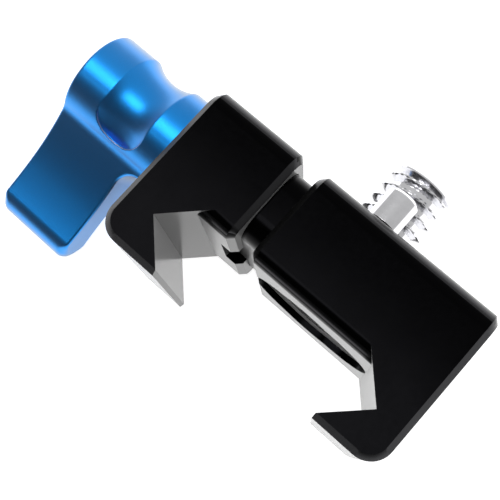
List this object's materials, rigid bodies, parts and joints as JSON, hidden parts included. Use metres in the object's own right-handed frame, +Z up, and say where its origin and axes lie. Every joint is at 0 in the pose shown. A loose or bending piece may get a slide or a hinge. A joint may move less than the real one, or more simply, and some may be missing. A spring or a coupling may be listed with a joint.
{
  "type": "rail clamp",
  "caption": "Small V-jaw rail clamp: black anodised jaws slide on a guide post, a blue thumb lever turns the clamp screw, and a threaded stud with locating pins carries an accessory",
  "frame": {"origin": "bottom centre of the bounding box, the clamp lying on one flat side", "axes": "X along the clamp screw from the lever to the fixed jaw, Y along the mounting stud, Z up, along the rail that the jaws grip"},
  "size_m": [0.043, 0.0274, 0.018],
  "materials": {
    "black_aluminium": "black anodised, satin",
    "blue_aluminium": "blue anodised, fine blasted",
    "bright_steel": "polished",
    "steel": "machined",
    "dark_steel": "blackened",
    "bronze": "machined bronze"
  },
  "bodies": {
    "fixed": {"fixed_jaw": "black_aluminium", "guide_post": "black_aluminium", "thread_insert": "steel", "post_dowels": "steel", "mounting_stud": "bright_steel", "stud_lock_screw": "dark_steel", "locating_pin_upper": "bright_steel", "locating_pin_lower": "bright_steel"},
    "jaw": {"moving_jaw": "black_aluminium", "jaw_bush": "bronze", "backing_washer": "steel", "travel_stop_screw": "dark_steel", "jaw_spring_upper": "steel", "jaw_spring_lower": "steel"},
    "screw": {"clamp_screw": "steel", "retaining_ring": "dark_steel", "thrust_washer": "bronze", "lever_screw": "dark_steel", "lever_washer": "steel", "lever_spring": "steel"},
    "lever": {"thumb_lever": "blue_aluminium", "ratchet_sleeve": "dark_steel"}
  },
  "joints": [
    {"name": "jaw_slide", "type": "slide", "parent": "fixed", "child": "jaw", "axis": [1, 0, 0], "range_m": [-0.003, 0.002], "deforming": ["jaw_spring_upper", "jaw_spring_lower"]},
    {"name": "lever_turn", "type": "hinge", "parent": "jaw", "child": "screw", "pos_m": [-0.00886, 0.00185, 0.009], "axis": [1, 0, 0], "range_deg": [-1540, 1028]},
    {"name": "lever_lift", "type": "slide", "parent": "screw", "child": "lever", "axis": [-1, 0, 0], "range_m": [0, 0.0021], "stiffness_N_per_m": 400, "springref_m": -0.0015, "deforming": ["lever_spring"]}
  ],
  "couplings": [
    {"joint": "jaw_slide", "follows": "lever_turn", "m_per_rad": 0.00011141}
  ]
}
